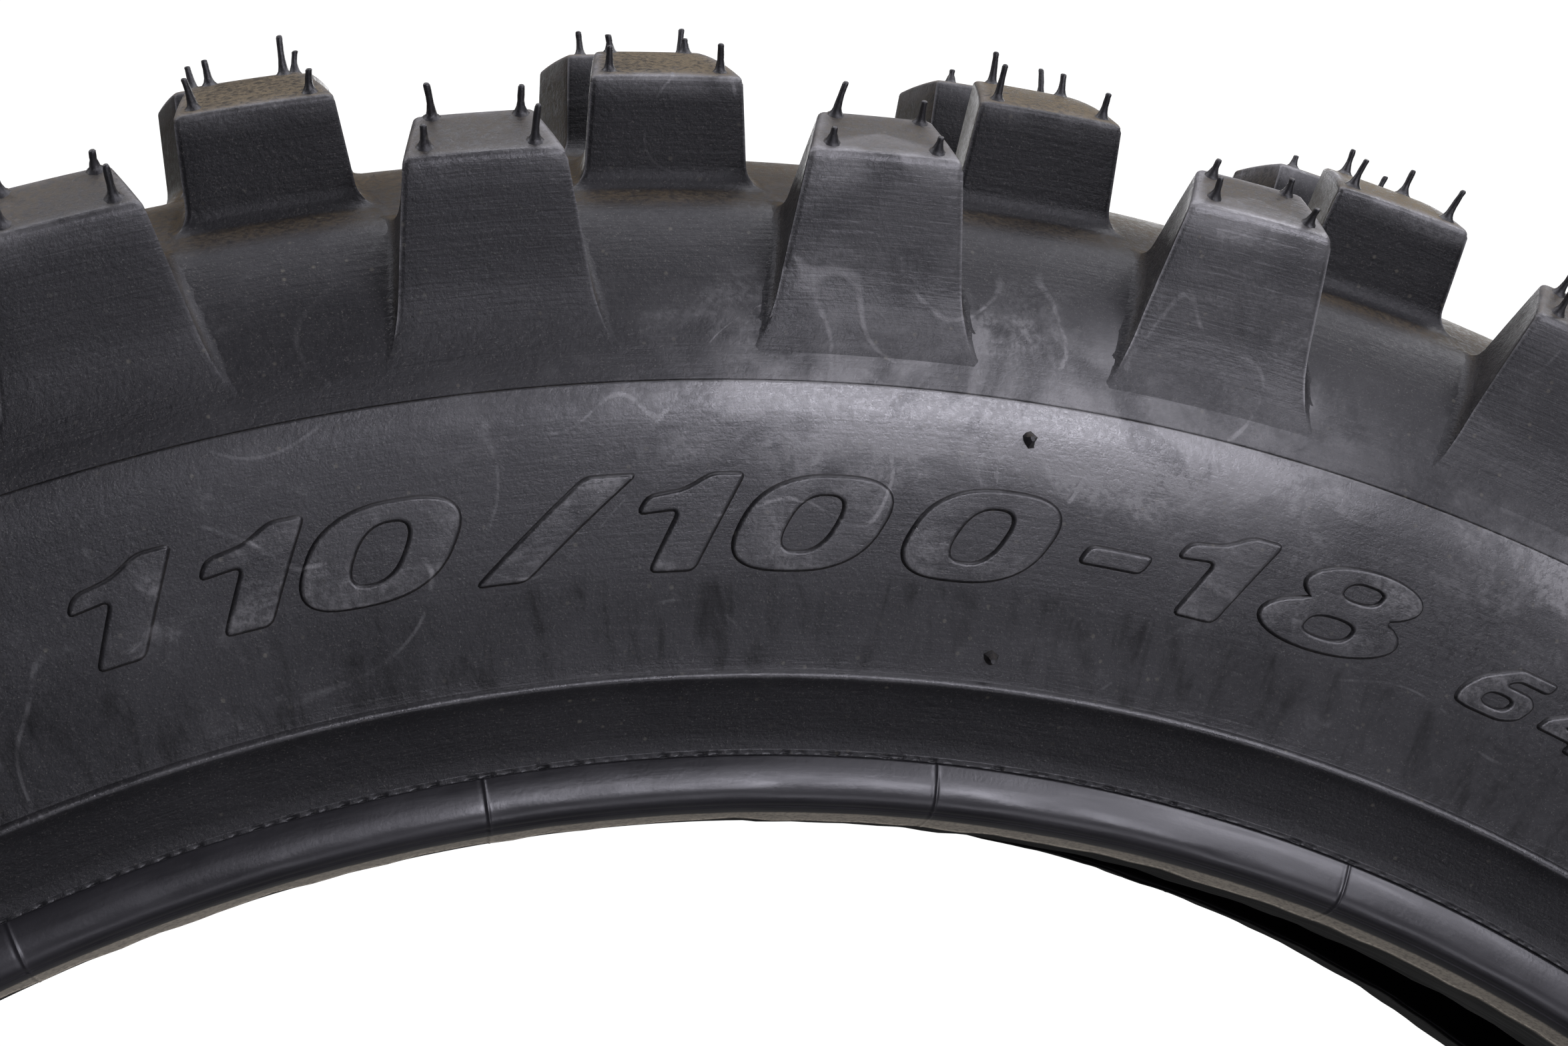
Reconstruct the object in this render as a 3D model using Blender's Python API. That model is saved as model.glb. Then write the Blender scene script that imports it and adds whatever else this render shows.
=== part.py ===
"""Off-road motorcycle rear tyre, built up from its plies, beads and rubber parts.

Metres, +Z up. The origin is the wheel centre and the wheel would spin about +Y.
Every layer is a ring turned about the Y axis from its own cross-section. The
section is drawn in millimetres as (y, r): distance from the centre plane and
distance from the spin axis. The hidden layers all hang on one guide line, the
outer face of the turned-up ply, so that neighbours keep an even gap.
"""
import math

import bmesh
import bpy

MM = 0.001

# Driving dimensions, in millimetres and degrees.
PITCHES = 38                    # knob rows of each kind around the tyre
PITCH = 360.0 / PITCHES
FIRST_ROW = -8.29               # angle of a shoulder row, from +Z towards +X
SKIN_RINGS = 2 * PITCHES        # facets around the outer skin
INNER_RINGS = 24                # facets around every hidden face

BASE_CENTRE_R = 258.5           # centre of the tread's cross-section arcs
BASE_ARC = 67.7                 # groove floor arc
TOP_CENTRE_R = 266.1
TOP_ARC = 75.6                  # knob top arc
GAP = 0.3                       # between neighbouring pieces
PLY = 1.0                       # thickness of one fabric ply
TREAD_BASE = 1.8                # thickness of the rubber under the knobbed cap

# Cross-section heights that several pieces share.
SKIN_JOINT_R = 290.0            # tread meets sidewall
CUSHION_JOINT_R = 256.0         # sidewall meets rim cushion
CHAFER_TOP_R = 239.1            # rim cushion meets chafer, outside the bead
CHAFER_INNER_TOP_R = 238.3      # inner liner meets chafer, inside the bead
LAND_Y = 35.9                   # flat ring that the rim flange presses on
LAND_BOTTOM_R = 235.4

# Bead wire bundle: a rectangle of wound steel wire.
HOOP_Y = 26.4
HOOP_R = 237.8
HOOP_WIDTH = 5.6
HOOP_HEIGHT = 5.2
WRAP = 0.6                      # thickness of the tape around it


def base_r(y):
    """Radius of the groove floor at distance y from the centre plane."""
    return BASE_CENTRE_R + math.sqrt(BASE_ARC ** 2 - y ** 2)


def top_r(y):
    """Radius of the knob tops at distance y from the centre plane."""
    return TOP_CENTRE_R + math.sqrt(TOP_ARC ** 2 - y ** 2)


# ---------------------------------------------------------------- guide line

def guide_half():
    """Guide line from the crown, down the side, round the bead and up again."""
    crown_arc = 60.0
    shoulder = math.radians(46.0)
    inner_y = HOOP_Y - HOOP_WIDTH / 2 - WRAP - 2 * GAP
    outer_y = HOOP_Y + HOOP_WIDTH / 2 + WRAP + 2 * GAP
    bottom_r = HOOP_R - HOOP_HEIGHT / 2 - WRAP - 2 * GAP
    points = []
    for step in range(3):
        angle = shoulder * step / 2
        points.append((crown_arc * math.sin(angle), BASE_CENTRE_R + crown_arc * math.cos(angle)))
    points += [
        (45.6, 289.0),                      # upper sidewall
        (42.6, 268.0),                      # lower sidewall
        (38.4, 257.0),
        (27.5, 246.5),                      # beside the bead filler
        (inner_y, 241.2),                   # down the inside of the bead
        (inner_y, bottom_r),
        (outer_y, bottom_r),                # under the bead
        (outer_y, 240.4),
        (36.2, 245.5),                      # turn-up
        (41.0, 258.5),
    ]
    return points


GUIDE = guide_half()
BEAD_INSIDE = 7                 # guide point where the bead's inner side starts
BEAD_TOE = 8
BEAD_HEEL = 9
TURN_UP_START = 10
TURN_UP_END = 12
SHOULDER = 2
UPPER_SIDE = 3
LOWER_SIDE = 4
FILLER_SIDE = 5


def guide_point(index):
    """Point of the whole guide line; negative indexes lie on the -Y side."""
    y, r = GUIDE[abs(index)]
    return (y, r) if index >= 0 else (-y, r)


def miter(index):
    """Offset vector at a guide point that moves both of its segments by 1 mm."""
    last = TURN_UP_END
    y, r = guide_point(index)
    normals = []
    for other in (index - 1, index + 1):
        if abs(other) > last:
            continue
        oy, orr = guide_point(other)
        dy, dr = (y - oy, r - orr) if other < index else (oy - y, orr - r)
        length = math.hypot(dy, dr)
        normals.append((dr / length, -dy / length))
    ny = sum(n[0] for n in normals)
    nr = sum(n[1] for n in normals)
    scale = len(normals) / (ny * ny + nr * nr)
    return ny * scale, nr * scale


def offset(position, depth):
    """Section point at a guide position, moved by depth towards the tyre's inside.

    The position counts guide points and may fall between two of them.
    """
    low = math.floor(position)
    part = position - low
    ends = [low] if part == 0 else [low, low + 1]
    points = []
    for index in ends:
        y, r = guide_point(index)
        my, mr = miter(index)
        points.append((y + my * depth, r + mr * depth))
    if len(points) == 1:
        return points[0]
    return tuple(a + (b - a) * part for a, b in zip(*points))


def offset_run(start, stop, depth):
    """Offset points at both ends and at every guide point between them."""
    step = 1 if stop > start else -1
    inside = [i for i in range(-TURN_UP_END, TURN_UP_END + 1)
              if min(start, stop) < i < max(start, stop)]
    positions = [start] + inside[::step] + [stop]
    return [offset(p, depth) for p in positions]


# ---------------------------------------------------------------- ring solids

def ring(bm, point, count):
    """Closed loop of vertices through one section point."""
    y, r = point
    loop = []
    for k in range(count):
        angle = math.radians(FIRST_ROW + PITCH / 4 + 360.0 * k / count)
        loop.append(bm.verts.new((r * math.sin(angle) * MM, y * MM, r * math.cos(angle) * MM)))
    return loop


def bridge(bm, one, two):
    """Faces between two loops: quads, or triangles where their counts differ."""
    if len(one) == len(two):
        for k in range(len(one)):
            n = (k + 1) % len(one)
            bm.faces.new((one[k], one[n], two[n], two[k]))
        return
    if len(one) < len(two):
        one, two = two, one
    i = j = 0
    while i < len(one) or j < len(two):
        a = one[i % len(one)]
        b = two[j % len(two)]
        if (i + 1) * len(two) <= (j + 1) * len(one) and i < len(one):
            i += 1
            bm.faces.new((a, one[i % len(one)], b))
        else:
            j += 1
            bm.faces.new((a, two[j % len(two)], b))


def finish(bm, name, colour, roughness, metallic=0.0):
    """Turn the bmesh into a named, smooth-shaded object with its own material."""
    bmesh.ops.recalc_face_normals(bm, faces=bm.faces)
    mesh = bpy.data.meshes.new(name)
    bm.to_mesh(mesh)
    bm.free()
    mesh.shade_smooth()
    mesh.set_sharp_from_angle(angle=math.radians(24))
    material = bpy.data.materials.new(name)
    material.use_nodes = True
    shader = material.node_tree.nodes["Principled BSDF"]
    shader.inputs["Base Color"].default_value = (*colour, 1.0)
    shader.inputs["Roughness"].default_value = roughness
    shader.inputs["Metallic"].default_value = metallic
    mesh.materials.append(material)
    bpy.context.collection.objects.link(bpy.data.objects.new(name, mesh))


def turned(name, skin, hidden, look, side=1):
    """Ring solid from a section: a finely faceted skin and a coarser hidden face."""
    bm = bmesh.new()
    loops = [ring(bm, (side * y, r), SKIN_RINGS) for y, r in skin]
    loops += [ring(bm, (side * y, r), INNER_RINGS) for y, r in hidden]
    for k, loop in enumerate(loops):
        bridge(bm, loop, loops[(k + 1) % len(loops)])
    finish(bm, name, *look)


# ---------------------------------------------------------------- the looks

RUBBER = ((0.012, 0.012, 0.015), 0.62)
BEAD_RUBBER = ((0.016, 0.015, 0.020), 0.45)
UNDER_RUBBER = ((0.022, 0.020, 0.020), 0.70)
LINER = ((0.018, 0.018, 0.020), 0.50)
CORD = ((0.30, 0.25, 0.19), 0.85)
BREAKER_CORD = ((0.34, 0.27, 0.18), 0.85)
FILLER = ((0.030, 0.028, 0.027), 0.75)
TAPE = ((0.42, 0.38, 0.31), 0.90)
STEEL = ((0.55, 0.50, 0.42), 0.35, 1.0)


# ---------------------------------------------------------------- tread cap

# Knob corners: distance from the centre plane and half-length along the tread.
# Feet stand on the groove floor, except the shoulder's, which has its own radii.
SHOULDER_FOOT = [(43.0, 310.8, 2.20), (46.6, 304.2, 2.35), (48.8, 296.4, 2.51)]
SHOULDER_TOP = [(49.6, 1.29), (56.7, 1.79)]
MIDDLE_FOOT = [(22.5, 1.75), (36.1, 2.13)]
MIDDLE_TOP = [(25.4, 1.21), (40.9, 1.71)]
CENTRE_FOOT = [(0.0, 2.45), (14.5, 1.95)]
CENTRE_TOP = [(0.0, 2.05), (12.0, 1.59)]


def tread_rows():
    """Floor rows across the tread: y, radius, owner of the row and half-length."""
    half = [(y, base_r(y), "centre", a) for y, a in CENTRE_FOOT]
    half += [(y, base_r(y), "middle", a) for y, a in MIDDLE_FOOT]
    half += [(y, r, "shoulder", a) for y, r, a in SHOULDER_FOOT]
    half.append((49.7, SKIN_JOINT_R + GAP, "edge", PITCH / 4))
    mirrored = [(-y, r, owner, a) for y, r, owner, a in half[:0:-1]]
    return mirrored + half


def row_vertices(bm, row):
    """One floor row: the columns close in on the knobs that stand on that row."""
    y, r, owner, half_length = row
    loop = []
    for column in range(SKIN_RINGS):
        own_cell = 0 if owner == "shoulder" else 1
        before = (column + own_cell) % 2 == 0
        cell = column if before else column - 1
        if owner == "edge":
            angle = FIRST_ROW + PITCH / 2 * column - PITCH / 4
        else:
            centre = FIRST_ROW + PITCH / 2 * cell
            angle = centre - half_length if before else centre + half_length
        angle = math.radians(angle)
        loop.append(bm.verts.new((r * math.sin(angle) * MM, y * MM, r * math.cos(angle) * MM)))
    return loop


def knob(bm, cell, feet, top):
    """Close one knob over a gap in the floor.

    feet holds the floor vertices of both long sides, and top the knob-top
    corners as (y, half-length), both running from one end of the knob to the other.
    """
    centre = FIRST_ROW + PITCH / 2 * cell
    sides = []
    for sign in (-1, 1):
        corners = []
        for y, half_length in top:
            angle = math.radians(centre + sign * half_length)
            r = top_r(y)
            corners.append(bm.verts.new((r * math.sin(angle) * MM, y * MM, r * math.cos(angle) * MM)))
        sides.append(corners)
    for foot, corners in zip(feet, sides):
        if len(foot) == len(corners):
            for k in range(len(foot) - 1):
                bm.faces.new((foot[k], foot[k + 1], corners[k + 1], corners[k]))
        else:
            bm.faces.new((foot[0], foot[1], corners[0]))
            bm.faces.new((foot[1], corners[1], corners[0]))
            bm.faces.new((foot[1], foot[2], corners[1]))
    for end in (0, -1):
        bm.faces.new((feet[0][end], feet[1][end], sides[1][end], sides[0][end]))
    for k in range(len(top) - 1):
        bm.faces.new((sides[0][k], sides[1][k], sides[1][k + 1], sides[0][k + 1]))


def mirrored_top(corners, side):
    """Knob-top corners in order of increasing y on the chosen side."""
    if side > 0:
        return corners
    return [(-y, a) for y, a in reversed(corners)]


def make_tread_cap():
    """Knobbed outer tread: floor, five kinds of knob place and the hidden inside."""
    bm = bmesh.new()
    rows = tread_rows()
    loops = [row_vertices(bm, row) for row in rows]
    runs = {"left_shoulder": (1, 3), "left_middle": (4, 5), "centre": (6, 8),
            "right_middle": (9, 10), "right_shoulder": (11, 13)}
    tops = {"left_shoulder": mirrored_top(SHOULDER_TOP, -1), "left_middle": mirrored_top(MIDDLE_TOP, -1),
            "centre": mirrored_top(CENTRE_TOP[1:], -1) + CENTRE_TOP,
            "right_middle": MIDDLE_TOP, "right_shoulder": SHOULDER_TOP}
    for cell in range(SKIN_RINGS):
        after = (cell + 1) % SKIN_RINGS
        standing = [n for n in runs if ("shoulder" in n) == (cell % 2 == 0)]
        covered = {k for n in standing for k in range(*runs[n])}
        for k in range(len(rows) - 1):
            if k not in covered:
                bm.faces.new((loops[k][cell], loops[k][after], loops[k + 1][after], loops[k + 1][cell]))
        for name in standing:
            first, last = runs[name]
            feet = [[loops[k][column] for k in range(first, last + 1)] for column in (cell, after)]
            knob(bm, cell, feet, tops[name])
    step_in = 1.66
    step_out = 1.74
    over_base = -(5 * GAP + 3 * PLY + TREAD_BASE + GAP)
    over_ply = -(2 * GAP + PLY)
    edge = UPPER_SIDE - 0.12
    inside = [offset(-edge, over_ply), offset(-SHOULDER, over_ply), offset(-step_out, over_ply)]
    inside += offset_run(-step_in, step_in, over_base)
    inside += [offset(step_out, over_ply), offset(SHOULDER, over_ply), offset(edge, over_ply)]
    hidden = [ring(bm, point, INNER_RINGS) for point in inside]
    for one, two in zip(hidden, hidden[1:]):
        bridge(bm, one, two)
    turned_start = [loop[1:] + loop[:1] for loop in (loops[0], loops[-1])]
    bridge(bm, turned_start[0], hidden[0])
    bridge(bm, turned_start[1], hidden[-1])
    finish(bm, "tread_cap", *RUBBER)


# ---------------------------------------------------------------- other layers

def strip(name, reach, near, far, look):
    """Even strip along the guide line, from -reach to +reach."""
    section = offset_run(-reach, reach, near) + offset_run(reach, -reach, far)
    turned(name, [], section, look)


def make_crown_layers():
    """Breakers over the crown and the rubber base that buries them."""
    ply_top = -(GAP + PLY)
    inner = (ply_top - GAP, ply_top - GAP - PLY)
    outer = (inner[1] - GAP, inner[1] - GAP - PLY)
    strip("breaker_inner", 1.45, *inner, BREAKER_CORD)
    strip("breaker_outer", 1.25, *outer, BREAKER_CORD)
    reach = 1.62
    clear = 1.5
    under = outer[1] - GAP
    section = offset_run(-reach, reach, under - TREAD_BASE)
    section += [offset(reach, ply_top - GAP), offset(clear, ply_top - GAP)]
    section += offset_run(clear, -clear, under)
    section += [offset(-clear, ply_top - GAP), offset(-reach, ply_top - GAP)]
    turned("tread_base", [], section, UNDER_RUBBER)


def make_carcass():
    """Two fabric plies and the liner; only the inner ply turns up round the beads."""
    strip("inner_ply", TURN_UP_END, 0.0, PLY, CORD)
    strip("outer_ply", FILLER_SIDE + 0.6, -GAP - PLY, -GAP, CORD)
    end = BEAD_INSIDE + 0.36
    strip("inner_liner", end, PLY + GAP, 2 * PLY + GAP, LINER)


def make_side(side, label):
    """Everything that comes once on each side of the tyre."""
    over_ply = -(2 * GAP + PLY)
    over_turn_up = PLY + GAP

    skin = [(44.2, CUSHION_JOINT_R + GAP), (45.8, 262.5), (48.0, 273.5), (49.6, 282.5), (49.9, 287.0),
            (49.7, SKIN_JOINT_R)]
    edge_y = offset(UPPER_SIDE - 0.09, over_ply)[0]
    hidden = [(edge_y, offset(UPPER_SIDE - 0.09, over_ply)[1]),
              offset(UPPER_SIDE, over_ply), offset(LOWER_SIDE, over_ply), offset(4.7, over_ply),
              (42.6, 259.0), (41.4, CUSHION_JOINT_R)]
    turned("sidewall_" + label, skin, hidden, RUBBER, side)

    skin = [(LAND_Y, CHAFER_TOP_R + GAP), (38.6, 243.2), (41.6, 247.2), (43.2, 248.3), (43.2, 249.6),
            (42.6, 250.9), (44.2, CUSHION_JOINT_R)]
    heel = offset(BEAD_HEEL, over_turn_up)
    hidden = [(41.3, CUSHION_JOINT_R - 0.5), offset(TURN_UP_END - 1, over_turn_up),
              offset(TURN_UP_START, over_turn_up), (heel[0], CHAFER_TOP_R + GAP - 0.4)]
    turned("rim_cushion_" + label, skin, hidden, BEAD_RUBBER, side)

    skin = [(16.9, 229.0), (17.7, 227.5), (28.7, 229.0), (33.4, 231.0),
            (LAND_Y, LAND_BOTTOM_R), (LAND_Y, CHAFER_TOP_R)]
    toe = offset(BEAD_TOE, over_turn_up)
    hidden = [(heel[0], CHAFER_TOP_R - 0.4), heel, toe, (toe[0], CHAFER_INNER_TOP_R),
              (19.2, CHAFER_INNER_TOP_R)]
    turned("chafer_" + label, skin, hidden, BEAD_RUBBER, side)

    left_y = HOOP_Y - HOOP_WIDTH / 2
    right_y = HOOP_Y + HOOP_WIDTH / 2
    bottom = HOOP_R - HOOP_HEIGHT / 2
    top = HOOP_R + HOOP_HEIGHT / 2
    hoop = [(left_y, bottom), (right_y, bottom), (right_y, top), (left_y, top)]
    turned("bead_hoop_" + label, [], hoop, STEEL, side)
    tape = GAP + WRAP
    wrap = [(left_y - tape, top), (left_y - tape, bottom - tape), (right_y + tape, bottom - tape),
            (right_y + tape, top), (right_y + GAP, top), (right_y + GAP, bottom - GAP),
            (left_y - GAP, bottom - GAP), (left_y - GAP, top)]
    turned("bead_wrap_" + label, [], wrap, TAPE, side)

    seat = top + GAP
    beside_ply = FILLER_SIDE + 0.67
    filler = [(left_y - tape, seat), offset(6, -GAP), offset(beside_ply, -GAP),
              offset(beside_ply, over_ply), offset(FILLER_SIDE + 0.1, over_ply),
              offset(TURN_UP_END - 0.28, -GAP), offset(TURN_UP_END - 1, -GAP), (right_y + tape, seat)]
    turned("bead_filler_" + label, [], filler, FILLER, side)


def main():
    for old in list(bpy.data.objects):
        bpy.data.objects.remove(old, do_unlink=True)
    make_tread_cap()
    make_crown_layers()
    make_carcass()
    make_side(-1, "left")
    make_side(1, "right")


main()
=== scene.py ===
"""Looks of the off-road motorcycle tyre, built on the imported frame."""

import math
import random

import bmesh
import bpy
import numpy as np
from mathutils import Matrix, Vector


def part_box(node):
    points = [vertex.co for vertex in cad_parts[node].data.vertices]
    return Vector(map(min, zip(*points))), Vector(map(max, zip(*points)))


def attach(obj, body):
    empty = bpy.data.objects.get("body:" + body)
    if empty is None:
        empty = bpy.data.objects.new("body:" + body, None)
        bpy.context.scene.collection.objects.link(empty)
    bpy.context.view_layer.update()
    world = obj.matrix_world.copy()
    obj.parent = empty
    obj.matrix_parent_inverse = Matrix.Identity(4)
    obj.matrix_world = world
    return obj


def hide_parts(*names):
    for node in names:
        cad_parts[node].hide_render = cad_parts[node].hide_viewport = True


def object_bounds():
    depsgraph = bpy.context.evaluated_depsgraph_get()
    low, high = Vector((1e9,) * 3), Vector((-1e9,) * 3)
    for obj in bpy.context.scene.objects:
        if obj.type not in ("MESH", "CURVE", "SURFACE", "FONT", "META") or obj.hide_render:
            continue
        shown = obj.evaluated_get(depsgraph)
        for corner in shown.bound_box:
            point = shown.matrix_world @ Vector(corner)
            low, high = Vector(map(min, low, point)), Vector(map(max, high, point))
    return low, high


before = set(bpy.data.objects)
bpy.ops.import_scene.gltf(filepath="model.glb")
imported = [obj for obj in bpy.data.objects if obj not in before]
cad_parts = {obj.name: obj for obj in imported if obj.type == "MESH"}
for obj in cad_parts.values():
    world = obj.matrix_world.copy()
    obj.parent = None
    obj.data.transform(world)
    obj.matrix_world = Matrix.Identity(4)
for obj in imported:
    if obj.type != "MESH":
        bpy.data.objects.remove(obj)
cad_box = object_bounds()

MM = 0.001
random.seed(11)

# ---- sizes from the frame, in millimetres

tread_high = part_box("tread_cap")[1]
side_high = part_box("sidewall_right")[1]
bead_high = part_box("chafer_right")[1]

KNOB_TOP_R = tread_high.z / MM + 0.05
KNOB_OUT_Y = tread_high.y / MM
SIDE_Y = side_high.y / MM
BEAD_Y = bead_high.y / MM

PITCHES = 38
PITCH = 360.0 / PITCHES
FIRST_ROW = -8.29               # angle of one shoulder row, from +Z towards +X
FLOOR_CENTRE_R = 258.5
FLOOR_ARC = 67.7
TOP_ARC = 75.6
TOP_CENTRE_R = KNOB_TOP_R - TOP_ARC
CROWN_R = 318.5                 # guide line of the carcass under the crown
PARTING_R = 287.0               # line where the mould halves' rings meet
HEEL_LINE_R = bead_high.z / MM - 0.5    # upper edge of the smooth bead band
WALL_RADIUS = 0.28              # metres, turns an angle into a distance along the wall
VENTS = 24                      # radial vent lines across each bead band
VENT_PHASE = -10.1
RING_STEPS = 760                # steps around a sidewall


# ---- section curves

def unit(flat):
    """Flat vector made one unit long."""
    return flat / np.hypot(*flat)


class Curve:
    """Smooth curve through section points (y, r), read by distance along it.

    outward is 1 if the rubber's outside is on the right of the curve, or -1 if on its left.
    """

    def __init__(self, points, density=24, outward=1):
        self.outward = outward
        p = np.array(points, float)
        p = np.vstack([2 * p[0] - p[1], p, 2 * p[-1] - p[-2]])
        rows = []
        for k in range(1, len(p) - 2):
            for t in np.arange(density) / density:
                rows.append(0.5 * (2 * p[k] + (p[k + 1] - p[k - 1]) * t
                                   + (2 * p[k - 1] - 5 * p[k] + 4 * p[k + 1] - p[k + 2]) * t * t
                                   + (3 * p[k] - p[k - 1] - 3 * p[k + 1] + p[k + 2]) * t ** 3))
        rows.append(p[-2])
        self.points = np.array(rows)
        step = np.hypot(*np.diff(self.points, axis=0).T)
        self.length = np.concatenate([[0], np.cumsum(step)])

    def at(self, s):
        s = np.asarray(s, float)
        first, last = self.points[0], self.points[-1]
        y = np.interp(s, self.length, self.points[:, 0])
        r = np.interp(s, self.length, self.points[:, 1])
        before = np.minimum(s, 0)
        after = np.maximum(s - self.length[-1], 0)
        start, end = unit(self.points[1] - first), unit(last - self.points[-2])
        return y + before * start[0] + after * end[0], r + before * start[1] + after * end[1]

    def nearest(self, y, r):
        """Distance along the curve of the point nearest to (y, r)."""
        return float(self.length[np.argmin(np.hypot(self.points[:, 0] - y, self.points[:, 1] - r))])

    def normal(self, s):
        """Unit vector square to the curve, out of the rubber."""
        y0, r0 = self.at(np.asarray(s) - 0.2)
        y1, r1 = self.at(np.asarray(s) + 0.2)
        length = np.hypot(y1 - y0, r1 - r0) * self.outward
        return (r1 - r0) / length, -(y1 - y0) / length


def floor_curve():
    """Groove floor from the crown out over the shoulder to the parting line."""
    points = []
    for degrees in np.arange(0, 36, 5):
        angle = math.radians(degrees)
        points.append((FLOOR_ARC * math.sin(angle), FLOOR_CENTRE_R + FLOOR_ARC * math.cos(angle)))
    points += [(43.0, 310.8), (46.6, 304.2), (48.8, 296.4), (49.7, 290.8), (SIDE_Y, PARTING_R)]
    return Curve(points, outward=-1)


def side_curve():
    """Sidewall from the guide rib up to the parting line."""
    return Curve([(43.1, 251.0), (44.0, 255.0), (45.8, 262.5), (48.0, 273.5), (49.6, 282.5),
                  (SIDE_Y, PARTING_R)])


FLOOR = floor_curve()
SIDE = side_curve()


def place(y, r, degrees):
    """Points in metres from cylinder coordinates in millimetres and degrees."""
    a = np.radians(degrees)
    return np.stack([r * np.sin(a) * MM, y * np.ones_like(r * a) * MM, r * np.cos(a) * MM], axis=-1)


# ---- meshes

def finish_piece(mesh, material, slot, replaces=(), wear=None, rise=None):
    """Smooth-shaded object of a mesh, which rides on the tyre and has the mesh's name.

    Its wear values say for each point how much its rubber is rubbed and how much highlight is painted on it,
    and rise how far up a knob it is.
    The materials read both.
    """
    for name, values in (("wear", wear), ("rise", rise)):
        if values is not None:
            mesh.attributes.new(name, "FLOAT", "POINT").data.foreach_set("value", values.astype(np.float32))
    mesh.shade_smooth()
    mesh.set_sharp_from_angle(angle=math.radians(50))
    mesh.materials.append(material)
    piece = bpy.data.objects.new(mesh.name, mesh)
    bpy.context.collection.objects.link(piece)
    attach(piece, "root")
    if replaces:
        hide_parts(*replaces)


def add_piece(name, points, faces, material, slot, **more):
    mesh = bpy.data.meshes.new(name)
    mesh.from_pydata(points.tolist(), [], faces)
    finish_piece(mesh, material, slot, **more)


def grid_faces(rows, columns, start=0, flip=False):
    """Quads of a grid whose columns close round; rows run on."""
    faces = []
    for i in range(rows - 1):
        for j in range(columns):
            n = (j + 1) % columns
            quad = (i * columns + j, i * columns + n, (i + 1) * columns + n, (i + 1) * columns + j)
            quad = tuple(start + q for q in quad)
            faces.append(quad[::-1] if flip else quad)
    return faces


def tube_faces(rows, columns, start=0, flip=False):
    """Faces of a closed tube: its grid, then the cap of the last row and the cap of the first."""
    last = start + (rows - 1) * columns
    caps = [tuple(last + j for j in range(columns)), tuple(start + j for j in range(columns - 1, -1, -1))]
    return grid_faces(rows, columns, start, flip) + [cap[::-1] if flip else cap for cap in caps]


def turned(name, section, side, material, slot, angles, replaces=(), shape=None, wear=None):
    """Closed ring turned from a loop of (y, r) points.

    shape(y, r, degrees) may move the ring's points before they are placed, and
    the wear function, called the same way, gives how rubbed they are and how much highlight is painted on
    them.
    """
    section = np.array(section, float)
    y = np.repeat(section[:, :1], len(angles), axis=1)
    r = np.repeat(section[:, 1:], len(angles), axis=1)
    a = np.repeat(np.asarray(angles, float)[None, :], len(section), axis=0)
    if shape:
        y, r = shape(y, r, a)
    points = place(side * y, r, a).reshape(-1, 3)
    worn_and_highlight = wear(y, r, a).reshape(-1) if wear else None
    rows, columns = y.shape
    faces = grid_faces(rows, columns)
    for j in range(columns):
        n = (j + 1) % columns
        faces.append(((rows - 1) * columns + j, (rows - 1) * columns + n, n, j))
    across, out = section.T
    twice_area = np.sum(across * np.roll(out, -1) - np.roll(across, -1) * out)
    if (twice_area > 0) == (side > 0):
        faces = [f[::-1] for f in faces]
    add_piece(name, points, faces, material, slot, replaces=replaces, wear=worn_and_highlight)


def mirrored(points):
    return [(-y, r) for y, r in points]


def even_angles(count):
    return np.arange(count) * 360.0 / count


# ---- materials

class Shader:
    """Builds a node material."""

    def __init__(self, name):
        self.material = bpy.data.materials.new(name)
        self.material.use_nodes = True
        self.tree = self.material.node_tree
        self.bsdf = self.tree.nodes["Principled BSDF"]

    def node(self, kind, inputs=(), **settings):
        """New node with its settings, and its inputs by name or number."""
        made = self.tree.nodes.new(kind)
        for key, value in settings.items():
            setattr(made, key, value)
        for key, value in dict(inputs).items():
            self.link(value, made.inputs[key])
        return made

    def link(self, value, socket):
        """Feed a socket from another socket, or set it to a plain value."""
        if isinstance(value, bpy.types.NodeSocket):
            self.tree.links.new(value, socket)
        else:
            socket.default_value = value

    def give(self, name, value):
        """Feed or set one input of the surface."""
        self.link(value, self.bsdf.inputs[name])

    def math(self, operation, *values, clamp=False):
        inputs = enumerate(values)
        return self.node("ShaderNodeMath", inputs, operation=operation, use_clamp=clamp).outputs[0]

    def fold(self, operation, values, clamp):
        """Several values put together in turn; clamp is for the last step."""
        total = values[0]
        for value in values[1:-1]:
            total = self.math(operation, total, value)
        return self.math(operation, total, values[-1], clamp=clamp)

    def times(self, *values, clamp=False):
        return self.fold("MULTIPLY", values, clamp)

    def plus(self, *values, clamp=False):
        return self.fold("ADD", values, clamp)

    def noise(self, vector, scale, detail=4.0, roughness=0.55, distortion=0.0):
        inputs = {"Vector": vector, "Scale": scale, "Detail": detail, "Roughness": roughness,
                  "Distortion": distortion}
        return self.node("ShaderNodeTexNoise", inputs).outputs["Fac"]

    def ramp(self, value, low, high, to_low=0.0, to_high=1.0):
        inputs = enumerate((value, low, high, to_low, to_high))
        return self.node("ShaderNodeMapRange", inputs, interpolation_type="SMOOTHSTEP").outputs[0]

    def mix(self, factor, one, two):
        one, two = [c if isinstance(c, bpy.types.NodeSocket) else (*c, 1.0) for c in (one, two)]
        return self.node("ShaderNodeMix", {0: factor, 6: one, 7: two}, data_type="RGBA").outputs[2]

    def bump(self, height, distance, strength=1.0, normal=None):
        inputs = {"Height": height, "Distance": distance, "Strength": strength}
        if normal is not None:
            inputs["Normal"] = normal
        return self.node("ShaderNodeBump", inputs).outputs["Normal"]

    def combine(self, x, y, z):
        return self.node("ShaderNodeCombineXYZ", enumerate((x, y, z))).outputs[0]


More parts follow.
